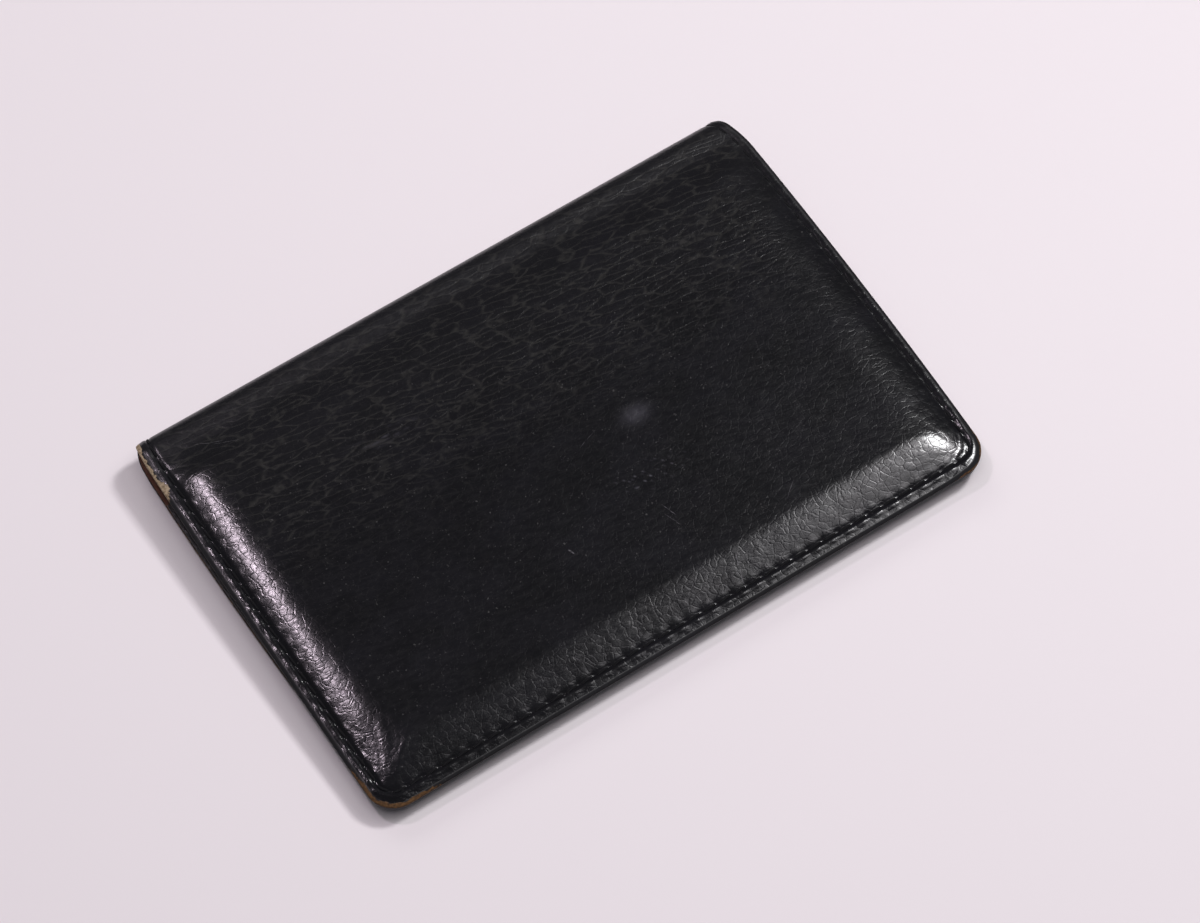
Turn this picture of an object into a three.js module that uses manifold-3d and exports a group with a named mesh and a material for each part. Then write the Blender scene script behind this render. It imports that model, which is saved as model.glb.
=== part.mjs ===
// Folding leather card holder, closed, lying on its back cover. Millimetres, +Z up.
// X runs along the spine, the open fore-edge faces -Y and the spine faces +Y. The origin is
// under the middle of the object, on the surface that it rests on.
//
// Each cover is a stack of sheets that one seam joins along three sides: outer leather that
// swells over a pad, the pad, a lining and a pocket panel whose mouth faces the spine. A soft
// spine joins the two covers and folds along its lower and its upper edge.

import * as THREE from 'three';
import { mergeVertices } from 'three/addons/utils/BufferGeometryUtils.js';
import Module from 'manifold-3d';

const wasm = await Module();
wasm.setup();

// Overall size
const WIDTH = 106;
const DEPTH = 72;

// Sheets
const LEATHER = 0.5;
const LINING = 0.18;
const POCKET_LEATHER = 0.32;
const GLUE_GAP = 0.03;

// Cover outline
const FORE_RADIUS = 4.5;
const SPINE_CORNER_RADIUS = 1.2;
const MIN_RADIUS = 1;
const SIDE_BOW = 0.25;
const SKEW_ALONG = 0.85;    // how far each cover's free corners lean sideways, in opposite directions
const SKEW_ACROSS = 0.1;    // how far they lean towards or away from the spine
const FRONT_PULL = 0.4;     // how far the front cover is pulled in at the left end of the spine
const BACK_SHORT = 1.3;     // how far the back cover stops short of the front cover at the fore-edge

// Pad and the swell that it raises in the leather
const SWELL = 1.2;
const SWELL_RUN = 5;
const SWELL_STEPS = 5;
const SWELL_FROM_SEAM = 0.9;
const SWELL_FROM_SPINE = 6.5;
const PAD_RADIUS = 2.5;
const PAD_GAP = 0.05;

// Pockets
const MOUTH_FROM_SPINE = 7;

// Seams
const SEAM_FROM_SIDE = 2;
const SEAM_FROM_FORE_EDGE = 2.5;
const THREAD_WIDTH = 0.5;
const THREAD_HEIGHT = 0.16;
const GROOVE_WIDTH = THREAD_WIDTH + 0.1;
const GROOVE_DEPTH = THREAD_HEIGHT + 0.05;
const OVERCUT = 1;          // how far a cutter runs past what it cuts

// Spine and the way the covers meet it
const SPINE_HEIGHT = 5.4;
const SPINE_RADIUS = SPINE_HEIGHT / 2;
const SPINE_LENGTH = WIDTH - 2;
const JOIN_GAP = 0.3;        // between a cover and the spine
const COVER_GAP = 0.3;       // between the closed covers at the fore-edge

// Facets
const ARC_STEPS = 16;
const CURVE_STEPS = 6;
const MERGE_DISTANCE = 1e-5;
const QUARTER_ARC_HANDLE = 0.5523;  // control length of a cubic that follows a quarter circle

const COVER_THICKNESS = LEATHER + PAD_GAP + LINING + POCKET_LEATHER + 2 * GLUE_GAP;
const SPINE_THREAD_X = WIDTH / 2 - SEAM_FROM_SIDE;
const SPINE_Y = DEPTH / 2 - SPINE_RADIUS;
const FORE_EDGE_Y = -DEPTH / 2 + SKEW_ACROSS;
const COVER_DEPTH = SPINE_Y - JOIN_GAP - FORE_EDGE_Y;
const BACK_PLANE_Z = SWELL;
const SPINE_TOP_Z = BACK_PLANE_Z + SPINE_HEIGHT;
const FRONT_PLANE_FORE_Z = BACK_PLANE_Z + 2 * COVER_THICKNESS + COVER_GAP;
const FRONT_TILT = Math.atan((SPINE_TOP_Z - FRONT_PLANE_FORE_Z) / COVER_DEPTH);

const materials = {
  outerLeather: { color: 0x15161a, roughness: 0.42 },
  pad: { color: 0xcfc8ba, roughness: 0.95 },
  lining: { color: 0x6f3a22, roughness: 0.75 },
  pocketLeather: { color: 0x1a1a1d, roughness: 0.55 },
  thread: { color: 0x0d0d0f, roughness: 0.6 },
};

// ---- Solids ----

function meshToSolid(geometry) {
  geometry.deleteAttribute('normal');
  geometry.deleteAttribute('uv');
  const merged = mergeVertices(geometry, MERGE_DISTANCE);
  return new wasm.Manifold(new wasm.Mesh({
    numProp: 3,
    vertProperties: new Float32Array(merged.attributes.position.array),
    triVerts: new Uint32Array(merged.index.array),
  }));
}

function solidToGeometry(solid) {
  const mesh = solid.getMesh();
  const geometry = new THREE.BufferGeometry();
  geometry.setAttribute('position', new THREE.BufferAttribute(mesh.vertProperties, 3));
  geometry.setIndex(new THREE.BufferAttribute(mesh.triVerts, 1));
  geometry.computeVertexNormals();
  return geometry;
}

// A plate of the given outline between two heights.
function plate(outline, low, high) {
  const shape = new THREE.Shape(outline);
  const geometry = new THREE.ExtrudeGeometry(shape, { depth: high - low, bevelEnabled: false });
  geometry.translate(0, 0, low);
  return meshToSolid(geometry);
}

// A closed solid through rings of equally many points, from its lower cap to its upper one.
function loft(rings) {
  const count = rings[0].points.length;
  const positions = rings.flatMap(({ points, z }) => points.flatMap((point) => [point.x, point.y, z]));
  const triangles = [];
  for (let ring = 0; ring < rings.length - 1; ring += 1) {
    for (let i = 0; i < count; i += 1) {
      const here = ring * count + i;
      const next = ring * count + ((i + 1) % count);
      triangles.push(here, next, next + count, here, next + count, here + count);
    }
  }
  const last = (rings.length - 1) * count;
  for (const [a, b, c] of THREE.ShapeUtils.triangulateShape(rings[0].points, [])) {
    triangles.push(a, c, b);
  }
  for (const [a, b, c] of THREE.ShapeUtils.triangulateShape(rings.at(-1).points, [])) {
    triangles.push(last + a, last + b, last + c);
  }
  const geometry = new THREE.BufferGeometry();
  geometry.setAttribute('position', new THREE.Float32BufferAttribute(positions, 3));
  geometry.setIndex(triangles);
  return meshToSolid(geometry);
}

// ---- Cover outlines ----

// Where two lines meet, each given by a point and a direction.
function crossing(pointA, directionA, pointB, directionB) {
  const reach = pointB.clone().sub(pointA).cross(directionB) / directionA.cross(directionB);
  return pointA.clone().addScaledVector(directionA, reach);
}

// The anticlockwise outline of a cover, set in from its fore-edge, its short sides and its spine
// side. The short sides bow outward and the corners are round.
function coverOutline(cover, { fore = 0, side = 0, spine = 0 }, spineRadius = SPINE_CORNER_RADIUS) {
  const inset = { fore, side, spine };
  const edges = cover.corners.map((corner, i) => {
    const next = cover.corners[(i + 1) % cover.corners.length];
    const direction = next.clone().sub(corner).normalize();
    const inward = new THREE.Vector2(-direction.y, direction.x);
    const kind = cover.edges[i];
    return { kind, direction, inward, start: corner.clone().addScaledVector(inward, inset[kind]) };
  });
  const path = new THREE.Path();
  const corners = edges.map((edge, i) => {
    const before = edges.at(i - 1);
    const point = crossing(before.start, before.direction, edge.start, edge.direction);
    const isFree = before.kind === 'fore' || edge.kind === 'fore';
    const radius = isFree ? Math.max(FORE_RADIUS - side, MIN_RADIUS) : spineRadius;
    return { point, radius, before, edge };
  });
  const arcStart = ({ point, radius, before }) => point.clone().addScaledVector(before.direction, -radius);
  const arcEnd = ({ point, radius, edge }) => point.clone().addScaledVector(edge.direction, radius);
  const first = arcStart(corners[0]);
  path.moveTo(first.x, first.y);
  corners.forEach((corner, i) => {
    const from = arcStart(corner);
    const to = arcEnd(corner);
    const leave = from.clone().addScaledVector(corner.before.direction, corner.radius * QUARTER_ARC_HANDLE);
    const arrive = to.clone().addScaledVector(corner.edge.direction, -corner.radius * QUARTER_ARC_HANDLE);
    path.bezierCurveTo(leave.x, leave.y, arrive.x, arrive.y, to.x, to.y);
    const next = arcStart(corners[(i + 1) % corners.length]);
    if (corner.edge.kind === 'side') {
      const control = to.clone().add(next).multiplyScalar(0.5);
      control.addScaledVector(corner.edge.inward, -2 * SIDE_BOW);
      path.quadraticCurveTo(control.x, control.y, next.x, next.y);
    } else {
      path.lineTo(next.x, next.y);
    }
  });
  const points = path.getPoints(CURVE_STEPS);
  if (points[0].distanceTo(points.at(-1)) < 1e-6) {
    points.pop();
  }
  return points;
}

// Rings of the swell, from its flat top at topZ down to its foot, SWELL away from the top.
function swellRings(cover, topZ, margin) {
  const rings = [];
  for (let step = 0; step <= SWELL_STEPS; step += 1) {
    const angle = (Math.PI / 2) * (1 - step / SWELL_STEPS);
    const run = SWELL_RUN * (1 - Math.cos(angle)) + margin;
    const insets = {
      fore: SEAM_FROM_FORE_EDGE + SWELL_FROM_SEAM + run,
      side: SEAM_FROM_SIDE + SWELL_FROM_SEAM + run,
      spine: SWELL_FROM_SPINE + run,
    };
    const z = topZ + SWELL * (1 - Math.sin(angle));
    rings.push({ points: coverOutline(cover, insets, PAD_RADIUS), z });
  }
  return rings;
}

// A band along the seam, open at the spine side, where it stops at spineInset.
function seamBand(cover, width, spineInset, low, high) {
  const outline = (offset, spineEnd) => coverOutline(cover, {
    fore: SEAM_FROM_FORE_EDGE + offset,
    side: SEAM_FROM_SIDE + offset,
    spine: spineEnd,
  });
  const whole = plate(outline(-width / 2, spineInset), low, high);
  const middle = plate(outline(width / 2, spineInset - OVERCUT), low - OVERCUT, high + OVERCUT);
  return whole.subtract(middle);
}

// ---- Sheets of one cover, z = 0 on the flat rim of its outer leather and +z inward ----

function coverLeather(cover) {
  const rim = coverOutline(cover, {});
  const shell = loft([
    ...swellRings(cover, -SWELL, 0),
    { points: rim, z: 0 },
    { points: rim, z: LEATHER },
    ...swellRings(cover, LEATHER - SWELL, LEATHER).reverse(),
  ]);
  const groove = seamBand(cover, GROOVE_WIDTH, -OVERCUT, -OVERCUT, GROOVE_DEPTH);
  return shell.subtract(groove);
}

function coverPad(cover) {
  return loft(swellRings(cover, LEATHER - SWELL + PAD_GAP, LEATHER + PAD_GAP));
}

function coverLining(cover) {
  const low = LEATHER + PAD_GAP + GLUE_GAP;
  return plate(coverOutline(cover, {}), low, low + LINING);
}

function pocketPanel(cover) {
  const outline = coverOutline(cover, { spine: MOUTH_FROM_SPINE });
  const sheet = plate(outline, COVER_THICKNESS - POCKET_LEATHER, COVER_THICKNESS);
  const low = COVER_THICKNESS - GROOVE_DEPTH;
  const groove = seamBand(cover, GROOVE_WIDTH, MOUTH_FROM_SPINE - OVERCUT, low, COVER_THICKNESS + OVERCUT);
  return sheet.subtract(groove);
}

function outerThread(cover) {
  return seamBand(cover, THREAD_WIDTH, JOIN_GAP, 0, THREAD_HEIGHT);
}

function innerThread(cover) {
  const low = COVER_THICKNESS - THREAD_HEIGHT;
  return seamBand(cover, THREAD_WIDTH, MOUTH_FROM_SPINE + JOIN_GAP, low, COVER_THICKNESS);
}

// ---- Spine, a half pipe that opens towards -Y ----

// A length of half pipe between two radii, centred on the middle of the spine's end profile.
function halfPipe(inner, outer, centreX, length) {
  const profile = new THREE.Shape();
  profile.absarc(0, 0, outer, -Math.PI / 2, Math.PI / 2, false);
  profile.absarc(0, 0, inner, Math.PI / 2, -Math.PI / 2, true);
  const options = { depth: length, bevelEnabled: false, curveSegments: ARC_STEPS };
  const geometry = new THREE.ExtrudeGeometry(profile, options);
  const axes = [new THREE.Vector3(0, 1, 0), new THREE.Vector3(0, 0, 1), new THREE.Vector3(1, 0, 0)];
  geometry.applyMatrix4(new THREE.Matrix4().makeBasis(...axes));
  geometry.translate(centreX - length / 2, 0, 0);
  return meshToSolid(geometry);
}

function spineLeather() {
  const sheet = halfPipe(SPINE_RADIUS - LEATHER, SPINE_RADIUS, 0, SPINE_LENGTH);
  const grooveAt = (x) => halfPipe(SPINE_RADIUS - GROOVE_DEPTH, SPINE_RADIUS + OVERCUT, x, GROOVE_WIDTH);
  return sheet.subtract(grooveAt(-SPINE_THREAD_X)).subtract(grooveAt(SPINE_THREAD_X));
}

function spineLining() {
  const outer = SPINE_RADIUS - LEATHER - GLUE_GAP;
  return halfPipe(outer - LINING, outer, 0, SPINE_LENGTH);
}

function spineThread(x) {
  return halfPipe(SPINE_RADIUS - THREAD_HEIGHT, SPINE_RADIUS, x, THREAD_WIDTH);
}

// ---- Assembly ----

function node(name, solid, material) {
  const mesh = new THREE.Mesh(
    solidToGeometry(solid),
    new THREE.MeshStandardMaterial({ ...materials[material], metalness: 0 }),
  );
  mesh.name = name;
  return mesh;
}

function coverNodes(name, cover) {
  return [
    node(`${name}_cover_leather`, coverLeather(cover), 'outerLeather'),
    node(`${name}_pad`, coverPad(cover), 'pad'),
    node(`${name}_lining`, coverLining(cover), 'lining'),
    node(`${name}_pocket_panel`, pocketPanel(cover), 'pocketLeather'),
    node(`${name}_outer_thread`, outerThread(cover), 'thread'),
    node(`${name}_inner_thread`, innerThread(cover), 'thread'),
  ];
}

// The back cover keeps the object's axes, so its fore-edge is at -y.
function backCover() {
  const spineY = SPINE_Y - JOIN_GAP;
  const foreY = FORE_EDGE_Y + BACK_SHORT;
  const corners = [
    new THREE.Vector2(-WIDTH / 2 + SKEW_ALONG, foreY - SKEW_ACROSS),
    new THREE.Vector2(WIDTH / 2 + SKEW_ALONG, foreY + SKEW_ACROSS),
    new THREE.Vector2(WIDTH / 2, spineY),
    new THREE.Vector2(-WIDTH / 2, spineY),
  ];
  const group = new THREE.Group();
  group.add(...coverNodes('back', { corners, edges: ['fore', 'side', 'spine', 'side'] }));
  group.position.z = BACK_PLANE_Z;
  return group;
}

// The front cover is turned over about X, so its fore-edge is at +y in its own group. It slopes
// down from the spine to the fore-edge.
function frontCover() {
  const corners = [
    new THREE.Vector2(-WIDTH / 2 + FRONT_PULL, 0),
    new THREE.Vector2(WIDTH / 2, 0),
    new THREE.Vector2(WIDTH / 2 - SKEW_ALONG, COVER_DEPTH + SKEW_ACROSS),
    new THREE.Vector2(-WIDTH / 2 - SKEW_ALONG, COVER_DEPTH - SKEW_ACROSS),
  ];
  const group = new THREE.Group();
  group.add(...coverNodes('front', { corners, edges: ['spine', 'side', 'fore', 'side'] }));
  group.position.set(0, SPINE_Y - JOIN_GAP, SPINE_TOP_Z);
  group.rotation.x = Math.PI + FRONT_TILT;
  return group;
}

function spine() {
  const group = new THREE.Group();
  group.add(
    node('spine_leather', spineLeather(), 'outerLeather'),
    node('spine_lining', spineLining(), 'lining'),
    node('spine_thread_left', spineThread(-SPINE_THREAD_X), 'thread'),
    node('spine_thread_right', spineThread(SPINE_THREAD_X), 'thread'),
  );
  group.position.set(0, SPINE_Y, BACK_PLANE_Z + SPINE_RADIUS);
  return group;
}

const cardHolder = new THREE.Group();
cardHolder.add(backCover(), spine(), frontCover());

export default cardHolder;
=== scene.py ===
"""Looks for the folding leather card holder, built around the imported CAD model.

Lengths are in millimetres and become metres in build_mesh(). Only the floor, the camera and the
lights are in metres. Each cover with its half of the spine is one developed strip: x runs along the spine, v
from the middle of the spine to the fore-edge, and h out of the flat rim. The mesh, the wear and
the grain all use x and v.
"""

import math

import bpy
import numpy as np
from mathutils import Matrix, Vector


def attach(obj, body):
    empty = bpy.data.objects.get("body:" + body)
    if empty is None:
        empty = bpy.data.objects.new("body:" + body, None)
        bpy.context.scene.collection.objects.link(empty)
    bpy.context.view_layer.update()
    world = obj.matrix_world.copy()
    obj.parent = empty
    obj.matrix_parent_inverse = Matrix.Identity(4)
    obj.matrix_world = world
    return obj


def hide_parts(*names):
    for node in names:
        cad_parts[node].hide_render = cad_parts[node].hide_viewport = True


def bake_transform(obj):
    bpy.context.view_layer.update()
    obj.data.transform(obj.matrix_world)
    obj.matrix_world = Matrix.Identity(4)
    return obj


MM = 0.001
MICRON = 0.000001
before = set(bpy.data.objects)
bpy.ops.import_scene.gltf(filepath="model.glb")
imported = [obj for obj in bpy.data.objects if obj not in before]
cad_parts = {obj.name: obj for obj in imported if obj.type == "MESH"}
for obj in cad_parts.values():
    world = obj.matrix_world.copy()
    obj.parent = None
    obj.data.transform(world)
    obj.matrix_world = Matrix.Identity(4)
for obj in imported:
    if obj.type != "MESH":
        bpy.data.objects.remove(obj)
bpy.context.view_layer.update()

# ---- Measures that the CAD model has too ----
LEATHER = 0.5
LINING = 0.18
POCKET_LEATHER = 0.32
LINING_TOP = -0.58          # heights out of the flat rim, so these lie inside it
POCKET_TOP = -0.79
HALF_WIDTH = 53.0
FORE_RADIUS = 4.5
SWELL = 1.2                 # how far the pad lifts the leather
SWELL_FROM_SPINE = 6.5
MOUTH_FROM_SPINE = 7.0
SPINE_RADIUS = 2.7
SPINE_Y = 33.3              # the spine's axis
SPINE_Z = 3.9
BACK_RIM_Z = SWELL          # the flat rims at the spine
FRONT_RIM_Z = 6.6
FRONT_TILT = math.atan((FRONT_RIM_Z - 3.72) / 68.9)
HALF_SPINE = 4.541          # from the middle of the spine to where a cover starts, along the leather

# ---- Measures of the looks ----
SEAM_FROM_LEFT = 2.05
SEAM_FROM_RIGHT = 1.65
SEAM_FROM_FORE_EDGE = 2.35
STITCH = 2.67
FIRST_HOLE = 0.35           # how much of a stitch comes before the first needle hole
GROOVE_DEPTH = 0.18         # the sewn groove at the sides, and along the fore-edge
FORE_GROOVE_DEPTH = 0.11
GROOVE_WIDTH = 0.32
FORE_GROOVE_WIDTH = 0.24
ROLL = 0.75                 # how far inside the outline the rolled rim starts, and how far it drops
ROLL_DROP = 0.32
FORE_ROLL_DROP = 0.13
LEDGE = 1.85                # how far inside the fore-edge its sloping ledge starts
LEDGE_SLOPE = 0.17
THREAD_WIDTH = 0.43
THREAD_HEIGHT = 0.25
# At each end of the spine: where the leather ends in the middle, how far from there its edge
# takes to reach the cover's, and how roundly.
SPINE_END = ((51.7, 7.0, 2.4), (50.3, 9.5, 2.0))
# The swell's slopes: how far inside the seam each starts, how long it is and how steeply it starts.
LEFT_SLOPE = (0.10, 6.4, 1.9)
RIGHT_SLOPE = (0.35, 9.4, 2.8)
FORE_SLOPE = (0.30, 6.3, 1.5)
SPINE_SLOPE = (6.4, 12.4)   # from and to, measured from the middle of the spine
MOUTH_LIFT = 0.42           # how far cards have lifted the pocket's mouth
PLAIN_STEP = 4              # one face of a sheet's plain side covers this many grid cells each way
INNER = 9.0                 # the edge mark of the plain side, where 0 is the detailed side

# ---- Repeatable noise ----


def lattice(ix, iy, seed):
    """A random number from 0 to 1 for each whole-number point."""
    n = ix.astype(np.int64) * 374761393 + iy.astype(np.int64) * 668265263 + seed * 97463477
    n &= 0xFFFFFFFF
    n = ((n ^ (n >> 13)) * 1274126177) & 0xFFFFFFFF
    return ((n ^ (n >> 16)) & 0xFFFFFF) / float(0xFFFFFF)


def noise(x, y, seed):
    """Smooth noise from -1 to 1 whose bumps are about one unit across."""
    ix, iy = np.floor(x), np.floor(y)
    fx, fy = x - ix, y - iy
    fx, fy = fx * fx * (3 - 2 * fx), fy * fy * (3 - 2 * fy)
    low = lattice(ix, iy, seed) * (1 - fx) + lattice(ix + 1, iy, seed) * fx
    high = lattice(ix, iy + 1, seed) * (1 - fx) + lattice(ix + 1, iy + 1, seed) * fx
    return 2 * (low * (1 - fy) + high * fy) - 1


def cells(x, y, seed):
    """Distances to the nearest and the second nearest of one random point in each unit cell."""
    ix, iy = np.floor(x), np.floor(y)
    first = np.full(x.shape, 9.0)
    second = np.full(x.shape, 9.0)
    for dx in (-1, 0, 1):
        for dy in (-1, 0, 1):
            px = ix + dx + lattice(ix + dx, iy + dy, seed)
            py = iy + dy + lattice(ix + dx, iy + dy, seed + 1)
            d = np.hypot(x - px, y - py)
            second = np.minimum(second, np.maximum(first, d))
            first = np.minimum(first, d)
    return first, second


def smooth(low, high, value):
    """From 0 at low to 1 at high, eased. With low above high it falls from 1 to 0 instead."""
    t = np.clip((value - low) / (high - low), 0, 1)
    return t * t * (3 - 2 * t)


def bump(value, width):
    """1 where value is 0, fading to nothing about two widths away."""
    return np.exp(-((value / width) ** 2))


def between(start, end, share):
    return start + (end - start) * share


# ---- The developed strip of one cover and its half of the spine ----


class Side:
    """One strip. left and right are the edges' x at the spine and at the fore-edge, bow is how far
    each edge bulges, and depth is the cover's depth at its left and right ends."""

    def __init__(self, name, up, tilt, rim_z, left, right, depth, bow):
        self.name = name
        self.up = up
        self.tilt = tilt
        self.rim_z = rim_z
        self.left = left
        self.right = right
        self.depth = depth
        self.bow = bow
        self.length = HALF_SPINE + sum(depth) / 2

    def place(self, x, v, h):
        """The point at height h over the strip, as an array of (x, y, z)."""
        turn = math.pi / 2 + self.tilt
        phi = np.minimum(v / SPINE_RADIUS, turn)
        straight = np.maximum(v - SPINE_RADIUS * turn, 0)
        radius = SPINE_RADIUS + h
        y = SPINE_Y + radius * np.cos(phi) - straight * np.sin(phi)
        z = SPINE_Z + self.up * (radius * np.sin(phi) + straight * np.cos(phi))
        return np.stack([x + 0 * y, y, z], -1)

    def cover_share(self, v):
        """From 0 at the spine's edge of the cover to 1 at the fore-edge."""
        return np.clip((v - HALF_SPINE) / (self.length - HALF_SPINE), 0, 1)

    def edge_x(self, v, sign):
        """Where the left (-1) or right (1) edge of the strip lies."""
        near, far = self.left if sign < 0 else self.right
        t = self.cover_share(v)
        cover = near + (far - near) * t + sign * 4 * self.bow[sign > 0] * t * (1 - t)
        end, reach, ease = SPINE_END[sign > 0]
        share = 1 - (1 - np.clip(v / reach, 0, 1)) ** ease
        return sign * end * (1 - share) + cover * share

    def fore_v(self, x):
        """Where the fore-edge lies."""
        t = np.clip((x + HALF_WIDTH) / (2 * HALF_WIDTH), 0, 1)
        return HALF_SPINE + self.depth[0] * (1 - t) + self.depth[1] * t

    def edge_distance(self, x, v, insets=(0.0, 0.0, 0.0)):
        """The distance inward from the outline, or from a line set in from its three free sides."""
        left, right, fore = insets
        from_side = np.minimum(x - self.edge_x(v, -1) - left, self.edge_x(v, 1) - x - right)
        from_fore = self.fore_v(x) - v - fore
        radius = FORE_RADIUS - (left + right) / 2
        corner = radius - np.hypot(radius - from_side, radius - from_fore)
        in_corner = (from_side < radius) & (from_fore < radius)
        return np.where(in_corner, corner, np.minimum(from_side, from_fore))

    def seam_distance(self, x, v):
        """The distance inward from the seam."""
        return self.edge_distance(x, v, (SEAM_FROM_LEFT, SEAM_FROM_RIGHT, SEAM_FROM_FORE_EDGE))

    def seam_path(self, start, step=0.05):
        """Points (x, v) along the seam from the spine down the left side, round and up again."""
        v_end = self.length - SEAM_FROM_FORE_EDGE
        radius = FORE_RADIUS - (SEAM_FROM_LEFT + SEAM_FROM_RIGHT) / 2
        down = np.arange(start, v_end - radius, step)
        left = np.stack([self.edge_x(down, -1) + SEAM_FROM_LEFT, down], 1)
        right = np.stack([self.edge_x(down, 1) - SEAM_FROM_RIGHT, down], 1)[::-1]
        theta = np.linspace(0, math.pi / 2, 60)
        corner_left = left[-1] + radius * np.stack([1 - np.cos(theta), np.sin(theta)], 1)
        corner_right = right[0] + radius * np.stack([np.sin(theta) - 1, np.cos(theta)], 1)
        points = np.concatenate([left, corner_left, corner_right, right])
        lengths = np.concatenate([[0], np.cumsum(np.hypot(*np.diff(points, axis=0).T))])
        keep = np.concatenate([[True], np.diff(lengths) > 1e-6])
        points, lengths = points[keep], lengths[keep]
        even = np.arange(0, lengths[-1], step)
        return np.stack([np.interp(even, lengths, points[:, k]) for k in (0, 1)], 1), step


front = Side(
    "front",
    up=1,
    tilt=FRONT_TILT,
    rim_z=FRONT_RIM_Z,
    left=(-52.8, -53.75),
    right=(52.9, 52.9),
    depth=(68.3, 68.3),
    bow=(0.25, 0.60),
)
back = Side(
    "back",
    up=-1,
    tilt=0.0,
    rim_z=BACK_RIM_Z,
    left=(-52.6, -52.3),
    right=(53.0, 53.6),
    depth=(67.7, 67.4),
    bow=(0.75, 0.25),
)


def hole_places(path, step):
    """Where the needle holes are, counted in steps along the seam's path."""
    stride = STITCH / step
    return np.arange(FIRST_HOLE * stride, len(path) - 2, stride)


def seam_holes(side, start):
    """The needle holes along the seam, each with the seam's direction there."""
    path, step = side.seam_path(start)
    at = hole_places(path, step).astype(int)
    along = path[np.minimum(at + 4, len(path) - 1)] - path[np.maximum(at - 4, 0)]
    along /= np.linalg.norm(along, axis=1)[:, None]
    return path[at], along


def around_holes(side, x, v, e, start):
    """For points near the seam, how far along and across it the nearest needle hole is."""
    holes, directions = seam_holes(side, start)
    along = np.full(x.shape, 9.0)
    across = np.full(x.shape, 9.0)
    near = np.argwhere(np.abs(e) < 2.6)
    batch = 20000
    for begin in range(0, len(near), batch):
        part = tuple(near[begin : begin + batch].T)
        dx = x[part][:, None] - holes[None, :, 0]
        dv = v[part][:, None] - holes[None, :, 1]
        best = np.argmin(dx * dx + dv * dv, axis=1)
        rows = np.arange(len(best))
        dx, dv, way = dx[rows, best], dv[rows, best], directions[best]
        along[part] = dx * way[:, 0] + dv * way[:, 1]
        across[part] = dx * way[:, 1] - dv * way[:, 0]
    return along, across


# ---- The shape of the outer leather ----


def rise(distance, run, ease):
    """From 0 to 1 as distance goes from 0 to run, steepest at the start."""
    return 1 - (1 - np.clip(distance / run, 0, 1)) ** ease


def pillow(side, x, v, inner=0.0):
    """How far the padding lifts the leather, from 0 on the rim to 1 on top."""
    gap, run, ease = LEFT_SLOPE
    run = run + 0.6 * smooth(38.0, 50.0, v) + 2.0 * smooth(57.0, 67.0, v)
    left = rise(x - side.edge_x(v, -1) - SEAM_FROM_LEFT - gap - inner, run, ease)
    gap, run, ease = RIGHT_SLOPE
    right = rise(side.edge_x(v, 1) - x - SEAM_FROM_RIGHT - gap - inner, run, ease)
    gap, run, ease = FORE_SLOPE
    fore = rise(side.fore_v(x) - v - SEAM_FROM_FORE_EDGE - gap - inner, run, ease)
    corner = 1.7 + 2.3 * smooth(0.0, -35.0, x)
    missing = (1 - left) ** corner + (1 - right) ** corner + (1 - fore) ** corner
    from_spine, to_top = SPINE_SLOPE
    return (1 - np.minimum(missing, 1) ** (1 / corner)) * smooth(from_spine + inner, to_top + inner, v)


def at_fore(side, x, v):
    """1 along the fore-edge and 0 more than 5 mm from it."""
    return smooth(5.0, 2.5, side.fore_v(x) - v)


def creases(side, x, v):
    """Long wavy folds that run almost along the spine where the leather has flexed."""
    drift = v - 0.165 * x
    reach = v + 0.1 * x + 5 * noise(x / 17, v / 17, 3)
    where = smooth(1.0, 5.0, v) * (1 - smooth(22.0, 44.0, reach)) * crease_room(side, x, v)
    wander = 1.1 * noise(x / 9, drift / 7, 5) + 0.5 * noise(x / 3.4, drift / 3, 6)
    folds = np.abs(noise(x / 13, (drift + wander) / 2.3, 7))
    fine = np.abs(noise(x / 5, (drift + wander) / 1.15, 8))
    depth = smooth(0.22, 0.0, folds) * 0.040 + smooth(0.25, 0.0, fine) * 0.014
    return -where * depth * (0.7 + 0.3 * noise(x / 7, v / 7, 9))


def corner_pulls(side, x, v):
    """Short creases that fan out of the two free corners across the swell."""
    total = np.zeros(x.shape)
    for sign, seed, strength in ((-1, 21, 0.45), (1, 22, 0.25)):
        cx = side.edge_x(np.array(side.length - 4.0), sign) - sign * 2.4
        cv = side.length - 3.0
        dx, dv = (x - cx) * -sign, cv - v
        far = np.hypot(dx, dv)
        angle = np.arctan2(dv, dx)
        wave = noise(angle * 14 + 0.6 * noise(far / 2, angle * 3, seed), far / 7, seed + 4)
        fan = smooth(1.2, 3.5, far) * (1 - smooth(7, 15, far))
        total += strength * fan * (-0.085 * smooth(0.35, 0.0, np.abs(wave)) + 0.025)
    return total


def seam_shape(side, x, v, e, to_fore):
    """The sewn groove and its needle holes. e is the distance inside the seam."""
    away_from_spine = smooth(0.3, 4.0, v)
    to_right = smooth(30.0, 48.0, x)
    along, across = around_holes(side, x, v, e, 0.0)
    uneven = 1 + 0.12 * noise(x / 2, v / 2, 11) * away_from_spine
    width = between(GROOVE_WIDTH, FORE_GROOVE_WIDTH, to_fore)
    groove = -between(GROOVE_DEPTH, FORE_GROOVE_DEPTH, to_fore) * bump(e, width) * uneven
    groove *= 1 - 0.75 * to_right * smooth(0.5, 4.0, v) * smooth(67.0, 60.0, v)
    hole = -0.10 * bump(across, 0.30) - 0.018 * bump(np.abs(e) - 0.55, 0.5)
    pinch = (1 - 0.8 * to_right * smooth(66.0, 58.0, v)) * bump(along, 0.42) * hole
    puckers = 0.035 * bump(np.abs(along) - STITCH / 2, 0.6) * bump(np.abs(e) - 0.75, 0.45)
    return groove + pinch + puckers


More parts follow.
